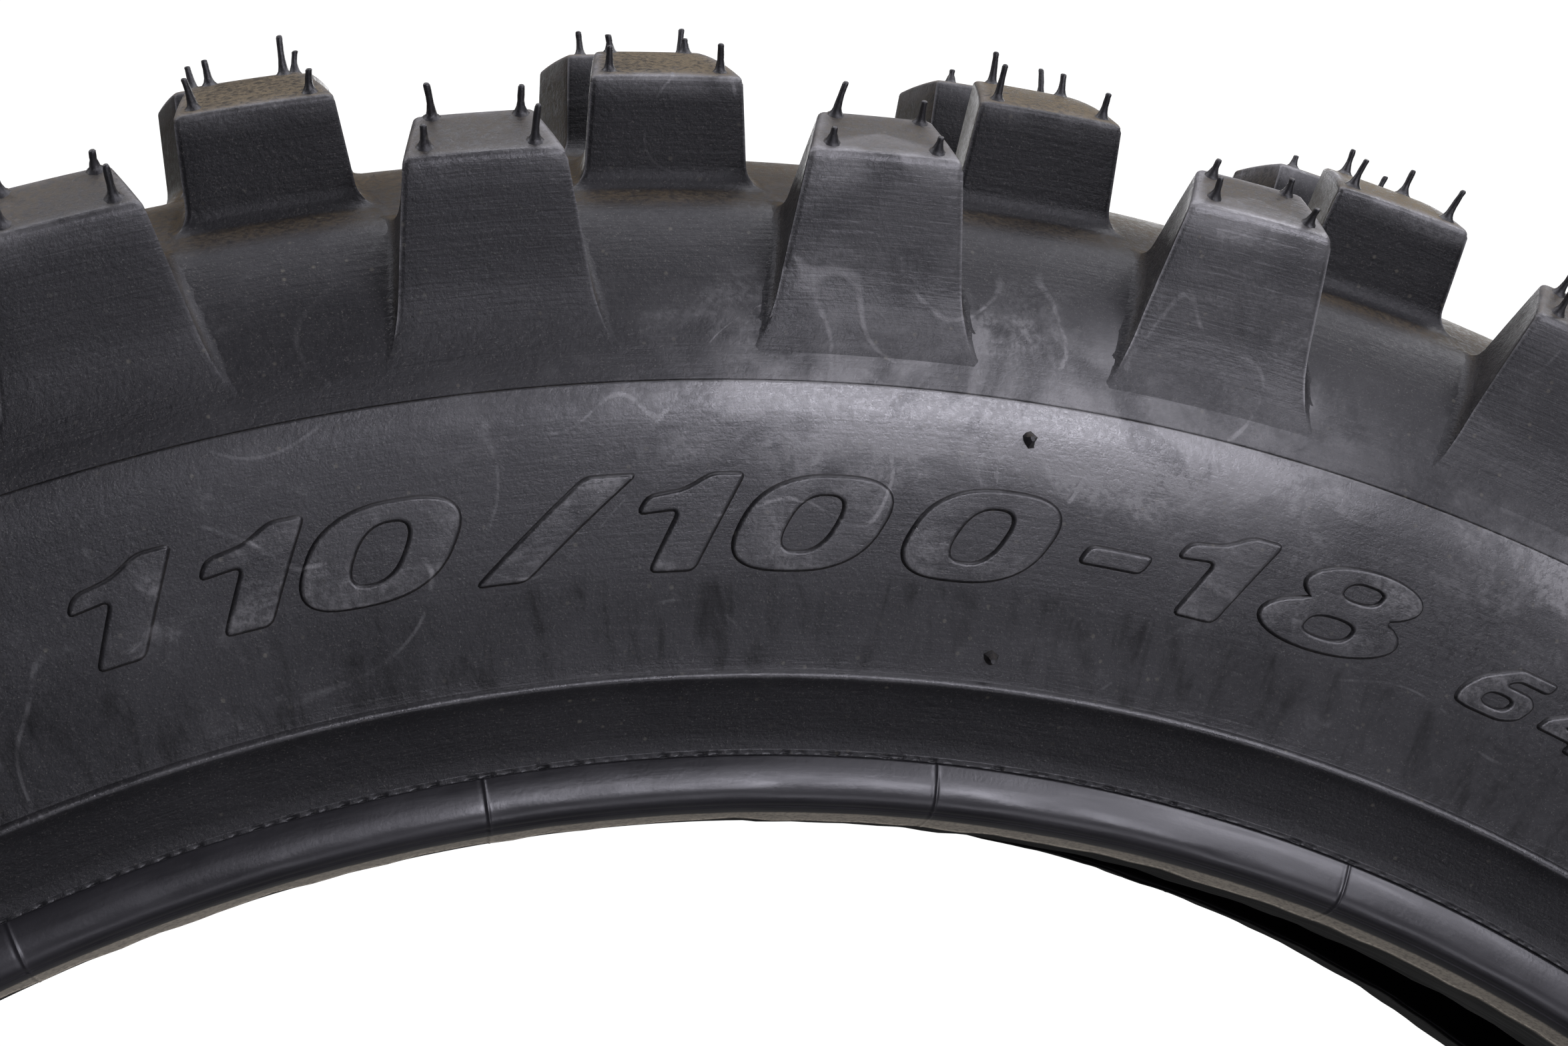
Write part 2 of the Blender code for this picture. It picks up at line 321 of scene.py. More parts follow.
class TyreShader(Shader):
    """Shader with the tyre's own coordinates: distance from the axis, turn and width."""

    def __init__(self, name):
        super().__init__(name)
        where = self.node("ShaderNodeTexCoord")
        self.position = where.outputs["Object"]
        x, self.width, z = self.node("ShaderNodeSeparateXYZ", {0: self.position}).outputs
        self.radius = self.math("SQRT", self.plus(self.times(x, x), self.times(z, z)))
        self.turn = self.math("ARCTAN2", x, z)
        facing = self.node("ShaderNodeSeparateXYZ", {0: where.outputs["Normal"]})
        self.sideways = self.math("ABSOLUTE", facing.outputs[1])
        from_axis = self.plus(self.times(facing.outputs[0], x), self.times(facing.outputs[2], z))
        self.outward = self.math("DIVIDE", from_axis, self.radius)
        self.wear = self.node("ShaderNodeAttribute", attribute_name="wear").outputs["Fac"]
        self.rise = self.node("ShaderNodeAttribute", attribute_name="rise").outputs["Fac"]
        self.around = self.times(self.turn, WALL_RADIUS)
        self.drawn_out = self.combine(self.radius, self.times(self.around, 0.07), self.width)


RUBBER_TINT = (0.90, 0.885, 1.0, 1.0)
BLUE_BLACK = (0.0085, 0.0083, 0.0105)
BLUE_GREY = (0.0130, 0.0126, 0.0155)
BROWN_DUST = (0.1250, 0.1000, 0.0720)
SCUFF_AND_HIGHLIGHT_GREY = (0.1500, 0.1460, 0.1620)
FLOOR_SOIL = (0.0920, 0.0660, 0.0370)
FLOOR_DUST = 0.56
FLOOR_SHINE = 0.34
FLOOR_CLEAN, FLOOR_DIRTY = 0.80, 0.35


def rubber(name, dust=1.0, scuff_and_highlight=1.0, gloss=0.0, lines=1.0, shine=0.5, shade=1.0, relief=1.0,
           soil=BROWN_DUST, clean=0.80, dirty=0.35, on_knob=False):
    """Moulded tyre rubber: blue-black on the sides, brown dust on tops and floors.

    clean and dirty say how much a surface faces sideways where it is free of dust or full of it.
    The foot of a knob looks like the groove floor, and takes its own look higher up.
    """
    s = TyreShader(name)
    fine = s.noise(s.position, 3800, detail=3, roughness=0.7)
    grain = s.noise(s.position, 1300, detail=5, roughness=0.65)
    cloud = s.noise(s.position, 45, detail=6, roughness=0.62)
    patch = s.noise(s.position, 95, detail=7, roughness=0.68, distortion=0.6)
    brushed = s.noise(s.drawn_out, 2600, detail=3)
    wide_lines = s.noise(s.drawn_out, 520, detail=4)
    up = s.ramp(s.rise, 0.0, 0.20) if on_knob else 1.0

    def blend(at_foot, above):
        """A value at the foot of a knob and the value above it."""
        return s.plus(at_foot, s.times(up, above - at_foot)) if on_knob else above

    clouded = s.ramp(cloud, 0.35, 0.65)
    tone = s.mix(clouded, BLUE_BLACK, BLUE_GREY)
    # Painted shade: shade below 1 paints the rubber darker above a knob's foot, or all over on other parts.
    if shade < 1:
        darker = s.mix(clouded, [c * shade for c in BLUE_BLACK], [c * shade for c in BLUE_GREY])
        tone = s.mix(up, tone, darker)
    dusty = s.times(s.ramp(s.sideways, blend(FLOOR_CLEAN, clean), blend(FLOOR_DIRTY, dirty)),
                    s.ramp(cloud, 0.25, 0.65, 0.40, 1.1), s.ramp(grain, 0.34, 0.62, 0.30, 1.45),
                    s.ramp(s.outward, 0.35, 0.72, 0.22, 1.0), blend(FLOOR_DUST, dust), clamp=True)
    tone = s.mix(dusty, tone, s.mix(up, FLOOR_SOIL, soil) if on_knob else soil)

    # Rubbed places: where the mesh gives wear, broken up by patches, grain and scratches. The same
    # lightening paints the highlight on the rib tip and sheen along the sidewall's parting line.
    winding = s.noise(s.position, 30, detail=1, distortion=0.35)
    hairline = s.math("ABSOLUTE", s.math("SUBTRACT", winding, 0.5))
    scratch = s.times(s.ramp(hairline, 0.006, 0.001), s.ramp(patch, 0.45, 0.60))
    broken = s.times(s.ramp(patch, 0.44, 0.66), s.ramp(grain, 0.36, 0.62, 0.25, 1.0),
                     s.ramp(wide_lines, 0.32, 0.62, 0.45, 1.0))
    everywhere = s.times(s.ramp(cloud, 0.52, 0.72), 0.22)
    smear = s.noise(s.position, 62, detail=5, roughness=0.5, distortion=1.6)
    broken = s.plus(broken, s.times(s.wear, s.ramp(smear, 0.36, 0.62, 0.06, 0.60)))
    rubbed_and_highlight = s.times(broken, s.plus(s.wear, everywhere))
    rubbed_and_highlight = s.plus(rubbed_and_highlight, s.times(scratch, s.plus(s.wear, 0.10)))
    rubbed_and_highlight = s.times(rubbed_and_highlight, scuff_and_highlight, clamp=True)
    tone = s.mix(rubbed_and_highlight, tone, SCUFF_AND_HIGHLIGHT_GREY)

    specks = s.node("ShaderNodeTexVoronoi", {"Vector": s.position, "Scale": 330}, feature="F1")
    near_speck = s.ramp(specks.outputs["Distance"], 0.13, 0.05)
    dots = s.times(near_speck, s.ramp(cloud, 0.40, 0.60, 0.15, 0.9))
    tone = s.mix(s.times(dots, 0.45), tone, (0.13, 0.118, 0.100))
    glints = s.ramp(fine, 0.57, 0.72, 0.0, 0.60)
    tone = s.mix(glints, tone, (0.105, 0.098, 0.098))

    # Dark streaks below the numerals, down to the guide rib.
    below = s.times(s.ramp(s.radius, 0.2635, 0.2600), s.ramp(s.radius, 0.2491, 0.2495))
    down_wall = s.combine(s.around, s.times(s.radius, 0.3), 0.0)
    streaks = s.noise(down_wall, 260, detail=4, distortion=0.8)
    stained = s.times(s.ramp(streaks, 0.46, 0.70, 0.12, 1.0), s.ramp(smear, 0.40, 0.60, 0.45, 1.0), below)
    tone = s.mix(s.times(stained, 0.75), tone, (0.0040, 0.0038, 0.0042))
    s.give("Base Color", tone)

    rough = s.plus(s.ramp(cloud, 0.3, 0.7, 0.44 - gloss, 0.52 - gloss), s.times(dusty, 0.30),
                   s.ramp(grain, 0.35, 0.65, -0.05, 0.05), s.times(s.wear, -0.08), clamp=True)
    s.give("Roughness", rough)
    s.give("Specular Tint", RUBBER_TINT)
    dull = s.plus(s.times(dusty, -0.45), s.times(stained, -0.40))
    if on_knob:
        dull = s.plus(dull, s.times(s.ramp(s.outward, 0.70, 0.92), -0.30))
    level = s.times(s.plus(1.0, dull), blend(FLOOR_SHINE, shine))
    s.give("Specular IOR Level", s.plus(level, s.times(s.wear, 0.25), clamp=True))

    normal = s.bump(fine, 0.00004, 0.5)
    normal = s.bump(grain, 0.00012 * relief, 0.6, normal)
    normal = s.bump(brushed, 0.00008 * lines, 0.5, normal)
    normal = s.bump(wide_lines, 0.00018 * lines, 0.4, normal)
    normal = s.bump(patch, 0.00030 * relief, 0.3, normal)
    s.give("Normal", normal)
    return s.material


def bead_rubber():
    """Smooth bead band with a dusty pale strip along its heel, and its base painted near black as painted
    shade.
    """
    s = TyreShader("bead_rubber")
    cloud = s.noise(s.position, 60, detail=5)
    fine = s.noise(s.position, 1800, detail=4)
    drawn = s.noise(s.drawn_out, 700, detail=4)
    tone = s.mix(s.ramp(cloud, 0.3, 0.7), (0.0100, 0.0094, 0.0125), (0.0170, 0.0160, 0.0205))
    out = s.math("ABSOLUTE", s.width)
    wave = s.noise(s.combine(s.around, 0.0, 0.0), 60, detail=4)
    upper = s.ramp(s.plus(s.radius, s.times(wave, -0.0003)), 0.23020, 0.22995)
    pale = s.times(upper, s.ramp(out, 0.0276, 0.0294), s.ramp(fine, 0.30, 0.60, 0.55, 1.0))
    tone = s.mix(pale, tone, (0.420, 0.375, 0.325))
    # Painted shade: the base, facing the axis, is painted near black and loses most of its specular.
    base = s.ramp(out, 0.0292, 0.0278)
    tone = s.mix(s.times(base, 0.92), tone, (0.0015, 0.0013, 0.0016))
    s.give("Base Color", tone)
    rough = s.plus(s.ramp(cloud, 0.3, 0.7, 0.31, 0.38), s.ramp(drawn, 0.35, 0.65, -0.03, 0.05),
                   s.times(pale, 0.4), clamp=True)
    s.give("Roughness", rough)
    s.give("Specular Tint", RUBBER_TINT)
    s.give("Specular IOR Level", s.ramp(base, 0.0, 1.0, 0.62, 0.04))
    normal = s.bump(fine, 0.00005, 0.35)
    normal = s.bump(drawn, 0.00008, 0.30, normal)
    normal = s.bump(cloud, 0.0005, 0.20, normal)
    s.give("Normal", normal)
    return s.material


def cord_fabric(name, colour, lean):
    """Rubber-dipped cord: close parallel cords laid at an angle to the tread."""
    s = TyreShader(name)
    along = s.plus(s.around, s.times(s.width, lean))
    cords = s.math("SINE", s.times(along, 6500))
    dip = s.noise(s.position, 300, detail=5)
    tone = s.mix(s.ramp(cords, -0.6, 0.8), tuple(c * 0.45 for c in colour), colour)
    tone = s.mix(s.ramp(dip, 0.45, 0.7), tone, (0.030, 0.028, 0.026))
    s.give("Base Color", tone)
    s.give("Roughness", 0.82)
    s.give("Normal", s.bump(cords, 0.0003, 0.8))
    return s.material


def bead_wire():
    """Bronze-coated steel wires, side by side round the bead."""
    s = TyreShader("bead_wire")
    across = s.math("SINE", s.times(s.plus(s.radius, s.width), 5600))
    stain = s.noise(s.position, 120, detail=5)
    tone = s.mix(s.ramp(stain, 0.35, 0.7), (0.60, 0.47, 0.28), (0.38, 0.33, 0.27))
    s.give("Base Color", tone)
    s.give("Metallic", 1.0)
    s.give("Roughness", s.ramp(stain, 0.3, 0.7, 0.28, 0.45))
    s.give("Normal", s.bump(across, 0.0004, 0.8))
    return s.material


def floor_material():
    """Pale matt floor that throws little light back up and fades into the white around it."""
    s = Shader("studio_floor")
    where = s.node("ShaderNodeTexCoord").outputs["Object"]
    away = s.node("ShaderNodeVectorMath", {0: where}, operation="LENGTH")
    into_white = s.ramp(away.outputs["Value"], 0.40, 1.50, 0.30, 1.0)
    seen = s.mix(s.noise(where, 6.0, detail=4), (0.70, 0.70, 0.69), (0.78, 0.78, 0.77))
    seen = s.mix(into_white, seen, (0.0, 0.0, 0.0))
    rays = s.node("ShaderNodeLightPath").outputs["Is Camera Ray"]
    s.give("Base Color", s.mix(rays, (0.10, 0.10, 0.10), seen))
    s.give("Emission Color", (1.0, 1.0, 1.0, 1.0))
    s.give("Emission Strength", s.times(into_white, rays, 1.1))
    s.give("Roughness", 0.8)
    return s.material


FLOOR_RUBBER = rubber("groove_floor_rubber", dust=FLOOR_DUST, scuff_and_highlight=1.3, shine=FLOOR_SHINE, soil=FLOOR_SOIL)
SHOULDER_RUBBER = rubber("shoulder_knob_rubber", dust=0.32, scuff_and_highlight=0.8, lines=1.7, shine=0.48, shade=0.92,
                         relief=1.4, clean=0.90, dirty=0.66, on_knob=True)
# Painted shade: the crown knobs, set lower between the shoulder rows, are painted much darker than the
# shoulder knobs.
SHADED_CROWN_RUBBER = rubber("shaded_crown_knob_rubber", dust=1.10, scuff_and_highlight=0.8, shine=0.28, shade=0.62,
                      relief=1.4, clean=0.88, dirty=0.60, on_knob=True)
# The sidewall's strong lightening of rubbed places also paints sheen along the parting line.
SIDE_RUBBER = rubber("sidewall_rubber", dust=0.25, scuff_and_highlight=3.0, gloss=0.10, lines=0.40, relief=0.55)
# Painted shade: the rim cushion is painted a little darker for the shade on its face under the rib.
CUSHION_RUBBER = rubber("rim_cushion_rubber", dust=0.0, scuff_and_highlight=0.25, gloss=0.08, lines=0.7, shine=0.46,
                        shade=0.95)
LINER_RUBBER = rubber("liner_rubber", dust=0.35, scuff_and_highlight=0.3, gloss=0.08, lines=0.5)
HAIR_RUBBER = rubber("hair_rubber", dust=0.3, scuff_and_highlight=0.2, lines=0.0, shine=0.6)
BEAD_RUBBER = bead_rubber()


# ---- knobs

ARC_STEPS = 6
EDGE_STEPS = 6


def outline(corners, push, radius):
    """Rounded outline of a convex polygon whose edges are pushed outward, in millimetres."""
    corners = [np.array(c, float) for c in corners]
    count = len(corners)
    lines = []
    for k in range(count):
        along = unit(corners[(k + 1) % count] - corners[k])
        normal = np.array([along[1], -along[0]])
        lines.append((corners[k] + normal * push[k], along, normal))
    arcs = []
    for k in range(count):
        p0, d0, n0 = lines[k - 1]
        p1, d1, n1 = lines[k]
        t = np.linalg.solve(np.array([d0, -d1]).T, p1 - p0)[0]
        centre = p0 + d0 * t - (n0 + n1) * radius / (1 + n0 @ n1)
        start = math.atan2(n0[1], n0[0])
        turn = (math.atan2(n1[1], n1[0]) - start) % (2 * math.pi)
        sweep = start + turn * np.arange(ARC_STEPS + 1) / ARC_STEPS
        arcs.append(centre + radius * np.stack([np.cos(sweep), np.sin(sweep)], axis=1))
    points = []
    for k in range(count):
        here, after = arcs[k], arcs[(k + 1) % count][0]
        points.extend(here)
        for step in range(1, EDGE_STEPS):
            points.append(here[-1] + (after - here[-1]) * step / EDGE_STEPS)
    return np.array(points)


class Knob:
    """Shape of one kind of knob, in the tyre's cylinder coordinates.

    foot is polygon corners (half-length in degrees with a sign, y, r) and top is (degrees, y).
    hairs are the feet of the vent hairs on top: (millimetres along the turn, y).
    Each edge of the foot has a fillet of its own: how far it spreads over the floor, and how
    far up the wall it reaches. sharp_corners are those with a line of mould flash.
    """

    HEIGHT = 15.0
    EDGE = 0.7          # radius along the top's rim
    CORNER = 0.8        # radius of the upright corners
    FLASH = 0.26        # how far mould flash stands out

    def __init__(self, foot, top, spread, reach, sharp_corners, hairs):
        self.foot = [(math.radians(d) * r, math.copysign(FLOOR.nearest(abs(y), r), y)) for d, y, r in foot]
        self.top = [(math.radians(d) * top_radius(y), TOP_ARC * math.asin(y / TOP_ARC)) for d, y in top]
        self.spread = np.array(spread, float)
        self.reach = np.array(reach, float)
        self.sharp_corners = sharp_corners
        self.hairs = hairs
        self.outer = outline(self.foot, 0 * self.spread, self.CORNER)[:, 1]
        self.outer = np.clip((self.outer - self.outer.max()) / 2.0 + 1, 0, 1)

    def fillet(self, level):
        """How far each edge stands out at a height above the floor: a parabola, tangent at both ends."""
        part = np.clip(level / self.reach, 0, 1)
        return self.spread * (1 - np.sqrt(part)) ** 2

    def build(self):
        """Rings from below the fillet's rim up the wall and over the top to its middle."""
        wall = self.HEIGHT - self.EDGE
        highest = self.reach.max()
        levels = list(highest * np.linspace(0, 1, 13) ** 2)
        levels += list(np.linspace(highest, wall - 3.0, 4)[1:])
        levels += [wall - 1.6, wall - 0.7, wall - 0.25, wall]
        rings = [self.ring(-0.06, self.spread + 1.5, self.CORNER, 0.0)]
        self.levels = [0.0] + [level / self.HEIGHT for level in levels] + [1.0] * 10
        for level in levels:
            worn_and_highlight = max(0.0, 1 - (wall - level) / 3.0) * 0.8
            rings.append(self.ring(level, self.fillet(level), self.CORNER, worn_and_highlight))
        for phi in np.linspace(0, math.pi / 2, 6)[1:]:
            level = wall + self.EDGE * math.sin(phi)
            rings.append(self.ring(level, -self.EDGE * (1 - math.cos(phi)) + 0 * self.spread, 0.75, 1.0))
        rim = outline(self.top, -self.EDGE + 0 * self.spread, 0.75)
        middle = rim.mean(axis=0)
        for shrink, worn_and_highlight in ((0.9, 0.45), (0.75, 0.1), (0.5, 0.0), (0.28, 0.0), (0.08, 0.0)):
            y, r, a = self.lerp(rim, middle + (rim - middle) * shrink, 1.0)
            rings.append((y, r, a, np.full(len(y), worn_and_highlight)))
        return [np.array(column) for column in zip(*rings)]

    def ring(self, level, push, radius, worn_and_highlight):
        foot = outline(self.foot, push, radius)
        top = outline(self.top, push, radius)
        wear = np.full(len(foot), worn_and_highlight)
        fade = min(1.0, max(0.0, level) / 0.8) * (level < self.HEIGHT - self.EDGE)
        for corner in self.sharp_corners:
            index = corner * (ARC_STEPS + EDGE_STEPS) + ARC_STEPS // 2
            for loop in (foot, top):
                loop[index] += unit(loop[index] - loop.mean(axis=0)) * self.FLASH * fade
            wear[index] = max(worn_and_highlight, min(1.0, max(0.0, level)))
        y, r, a = self.lerp(foot, top, max(level, 0.0) / self.HEIGHT)
        if level < 0:
            ny, nr = FLOOR.normal(np.abs(foot[:, 1]))
            y, r = y + level * ny * np.sign(foot[:, 1]), r + level * nr
        return y, r, a, wear

    @staticmethod
    def lerp(foot, top, part):
        y0, r0 = FLOOR.at(np.abs(foot[:, 1]))
        y0 = y0 * np.sign(foot[:, 1])
        turn0 = foot[:, 0] / r0
        y1 = TOP_ARC * np.sin(top[:, 1] / TOP_ARC)
        r1 = TOP_CENTRE_R + TOP_ARC * np.cos(top[:, 1] / TOP_ARC)
        turn1 = top[:, 0] / r1
        mixed = [a + (b - a) * part for a, b in ((y0, y1), (r0, r1), (turn0, turn1))]
        return mixed[0], mixed[1], np.degrees(mixed[2])


def floor_radius(y):
    return FLOOR_CENTRE_R + math.sqrt(FLOOR_ARC ** 2 - y * y)


def top_radius(y):
    return TOP_CENTRE_R + math.sqrt(TOP_ARC ** 2 - y * y)


def both_ends(inner, outer):
    """Four corners of a knob from the two at one end."""
    return [(-inner[0], *inner[1:]), inner, outer, (-outer[0], *outer[1:])]


SHOULDER = Knob(
    foot=both_ends((2.05, 43.0, 310.8), (2.48, 48.8, 296.4)),
    top=both_ends((1.35, 49.1), (1.89, KNOB_OUT_Y)),
    spread=(3.0, 1.7, 5.6, 1.7), reach=(3.6, 3.0, 5.0, 3.0), sharp_corners=(2, 3),
    hairs=both_ends((5.6, 50.1), (6.9, 54.9)))
MIDDLE = Knob(
    foot=both_ends((1.62, 22.9, floor_radius(22.9)), (2.06, 36.1, floor_radius(36.1))),
    top=both_ends((1.29, 25.1), (1.82, 41.2)),
    spread=(3.0, 2.6, 2.2, 2.6), reach=(3.2, 3.2, 2.8, 3.2), sharp_corners=(2, 3),
    hairs=both_ends((5.1, 26.6), (7.6, 39.0)))
CENTRE = Knob(
    foot=[(-1.88, -14.3, floor_radius(14.3)), (1.88, -14.3, floor_radius(14.3)), (2.38, 0, floor_radius(0)),
          (1.88, 14.3, floor_radius(14.3)), (-1.88, 14.3, floor_radius(14.3)), (-2.38, 0, floor_radius(0))],
    top=[(-1.63, -12.2), (1.63, -12.2), (2.09, 0), (1.63, 12.2), (-1.63, 12.2), (-2.09, 0)],
    spread=(3.4,) * 6, reach=(3.4,) * 6, sharp_corners=(0, 1, 3, 4),
    hairs=both_ends((7.2, -10.6), (7.2, 10.6)))


def ground_rub_and_sheen(side, degrees):
    """How much a place round the tyre was rubbed on its shoulder, from 0 up to about 1; on the sidewall this
    also sets painted sheen.
    """
    totals = []
    for places in RUB_AND_SHEEN_PLACES:
        total = np.zeros_like(degrees)
        for centre, reach, strength in places:
            off = (degrees - centre + 180) % 360 - 180
            total = np.maximum(total, strength * np.exp(-(off / reach) ** 4))
        totals.append(total)
    return np.where(np.asarray(side) > 0, totals[1], totals[0])


RUB_AND_SHEEN_PLACES = [[(random.uniform(50, 330), random.uniform(8, 16), random.uniform(0.4, 1.0)) for _ in range(5)]
          for _ in range(2)]
# The two places added here, on the left, paint the shoulder and sidewall lighter both as scuffs and as
# painted sheen.
RUB_AND_SHEEN_PLACES[0] += [(5.5, 9.5, 1.1), (27.0, 8.0, 0.6)]


def make_knobs(kind, side, name, first, material):
    """All the knobs of one row, each very slightly different."""
    y, r, a, wear = kind.build()
    rows, columns = y.shape
    points, faces, worn_and_highlight = [], [], []
    rise = np.repeat(kind.levels, columns)
    for k in range(PITCHES):
        lift = random.uniform(-0.12, 0.12) * (np.arange(rows) > 13)[:, None]
        twist = random.uniform(-0.03, 0.03)
        start = k * rows * columns
        points.append(place(side * y, r + lift, first + k * PITCH + a + twist).reshape(-1, 3))
        scraped = 0.55 * float(ground_rub_and_sheen(side, np.array(first + k * PITCH))) * (kind is SHOULDER)
        worn_and_highlight.append((wear * random.uniform(0.5, 1.3) + scraped * kind.outer).reshape(-1))
        faces += tube_faces(rows, columns, start, flip=side < 0)
    add_piece(name, np.concatenate(points), faces, material, "tread_rubber", wear=np.concatenate(worn_and_highlight),
              rise=np.tile(rise, PITCHES))


# ---- vent hairs

HAIR_SIDES = 8
NUB_SIDES = 10
# Height and radius of each ring in millimetres; the height is a share in the last two lists.
HAIR_FOOT = [(-0.3, 1.60), (0.0, 1.30), (0.22, 1.0), (0.55, 0.76), (1.1, 0.58)]
HAIR_THREAD = [(0.25, 0.48), (0.5, 0.45), (0.75, 0.44), (0.92, 0.44), (0.98, 0.34), (1.0, 0.15)]
NUB_RINGS = [(-0.4, 1.7), (0.0, 1.35), (0.22, 1.0), (0.45, 0.75), (0.8, 0.62), (1.0, 0.42)]
LEAN = 0.08                     # spread of a hair's lean, as a share of its length


def circle(sides, one, two):
    """Directions round a circle in the plane of two unit vectors."""
    turn = np.arange(sides) * 2 * math.pi / sides
    return np.cos(turn)[:, None] * one + np.sin(turn)[:, None] * two


def hair(base, out, sideways, length, bend):
    """Rings of one rubber hair: a flared foot, then an even thread that leans over."""
    lean = np.cross(out, sideways)
    levels = HAIR_FOOT + [(1.1 + (length - 1.1) * part, width) for part, width in HAIR_THREAD]
    round_it = circle(HAIR_SIDES, sideways, lean)
    rings = []
    for level, radius in levels:
        part = max(level - 0.6, 0) / length
        centre = out * level + (sideways * bend[0] + lean * bend[1]) * part ** 1.6
        rough = random.uniform(0.92, 1.08) if level > 0.5 else 1.0
        rings.append(base + (centre + radius * rough * round_it) * MM)
    return np.array(rings)


def make_hairs():
    """Vent hairs at the corners of every knob top."""
    rows = []
    for side in (-1, 1):
        rows += [(SHOULDER, side, FIRST_ROW), (MIDDLE, side, FIRST_ROW - PITCH / 2)]
    rows.append((CENTRE, 1, FIRST_ROW - PITCH / 2))
    points, faces = [], []
    for kind, side, first in rows:
        for k in range(PITCHES):
            for x, y in kind.hairs:
                y += random.uniform(-0.35, 0.35)
                r = top_radius(y)
                degrees = first + k * PITCH + math.degrees((x + random.uniform(-0.4, 0.4)) / r)
                base = place(side * y, r - 0.1, degrees)
                out = place(side * y, r - TOP_CENTRE_R, degrees)
                out = out / np.linalg.norm(out)
                sideways = np.cross(out, (0.0, 1.0, 0.0))
                sideways = sideways / np.linalg.norm(sideways)
                lengths = [random.uniform(*limits) for limits in ((4.0, 5.4), (3.2, 4.6), (2.0, 3.4))]
                length = random.choice(lengths)
                bend = (random.gauss(0, LEAN) * length, random.gauss(0, LEAN) * length)
                rings = hair(base, out, sideways, length, bend)
                faces += tube_faces(len(rings), HAIR_SIDES, len(points) * len(rings) * HAIR_SIDES)
                points.append(rings.reshape(-1, 3))
    add_piece("vent_hairs", np.concatenate(points), faces, HAIR_RUBBER, "tread_rubber")


# ---- turned rings

def make_tread_floor():
    """Groove floor right across the tread."""
    end = FLOOR.length[-1]
    s = np.concatenate([np.linspace(0, end - 0.6, 42), [end - 0.35, end - 0.18]])
    y, r = FLOOR.at(s)
    ny, nr = FLOOR.normal(s)
    outer = list(zip(y, r)) + [(SIDE_Y - 0.04, PARTING_R + 0.09), (SIDE_Y - 0.14, PARTING_R)]
    inner = list(zip(y - 2.0 * ny, r - 2.0 * nr))[::3]
    inner[-1] = (SIDE_Y - 2.0, PARTING_R)
    loop = mirrored(outer)[:0:-1] + outer + inner[::-1] + mirrored(inner)[1:]
    turned("tread_floor", loop, 1, FLOOR_RUBBER, "tread_rubber", even_angles(12 * PITCHES), ("tread_cap",),
           wear=lambda y, r, a: ground_rub_and_sheen(np.sign(y), a) * np.clip((305 - r) / 10, 0, 1) * 0.9)


def make_side(side, label):
    """Sidewall, rim cushion and bead of one side."""
    end = SIDE.length[-1]
    s = np.concatenate([np.linspace(0, end - 0.6, 38), [end - 0.4, end - 0.2]])
    y, r = SIDE.at(s)
    skin = list(zip(y, r)) + [(SIDE_Y - 0.03, PARTING_R - 0.10), (SIDE_Y - 0.14, PARTING_R)]
    wall = skin + [(SIDE_Y - 2.2, PARTING_R), (47.0, 282.0), (45.4, 273.0), (43.2, 262.0), (41.5, 255.0),
                   (41.4, 251.0)]
    # Painted sheen: the band along the parting line takes the lightening of the rubbed places, both as
    # scuffs and as sheen.
    turned("sidewall_skin_" + label, wall, side, SIDE_RUBBER, "side_rubber", even_angles(RING_STEPS),
           ("sidewall_" + label,),
           wear=lambda y, r, a: ground_rub_and_sheen(side, a) * np.exp(-((r - 285) / 8.5) ** 2))

    lip = [(BEAD_Y, HEEL_LINE_R + 0.1), (36.4, 239.9), (37.3, 241.3), (38.6, 243.2), (40.1, 245.3),
           (41.2, 246.7), (41.9, 247.4), (42.45, 247.85), (42.85, 248.15), (43.05, 248.38), (43.13, 248.60),
           (43.13, 248.80), (43.09, 249.0), (43.0, 249.2), (42.84, 249.43), (42.82, 249.46), (42.82, 249.50),
           (42.86, 249.75), (42.96, 250.3), (43.10, 251.0)]
    back = [(41.4, 251.0), (38.5, 247.2), (36.0, 244.2), (34.2, 242.0), (34.0, HEEL_LINE_R + 0.1)]
    # Painted highlight: the tip of the guide rib is given wear, which paints a thin lighter, glossier line
    # along it.
    turned("rim_cushion_skin_" + label, lip + back, side, CUSHION_RUBBER, "bead_rubber",
           even_angles(RING_STEPS), ("rim_cushion_" + label,),
           wear=lambda y, r, a: np.exp(-((r - 248.65) / 0.40) ** 2) * (y > 42))
    make_bead(side, label)
    make_flash(side, label)


def vent_angles():
    """Angles around the bead, packed close at each vent line."""
    angles = []
    near = np.array([-0.26, -0.18, -0.13, -0.09, -0.06, -0.03, 0.0, 0.03, 0.06, 0.10, 0.16])
    for k in range(VENTS):
        centre = VENT_PHASE + k * 360.0 / VENTS
        angles += list(centre + near)
        angles += list(centre + np.linspace(0.16, 360.0 / VENTS - 0.26, 24)[1:-1])
    return np.array(angles)


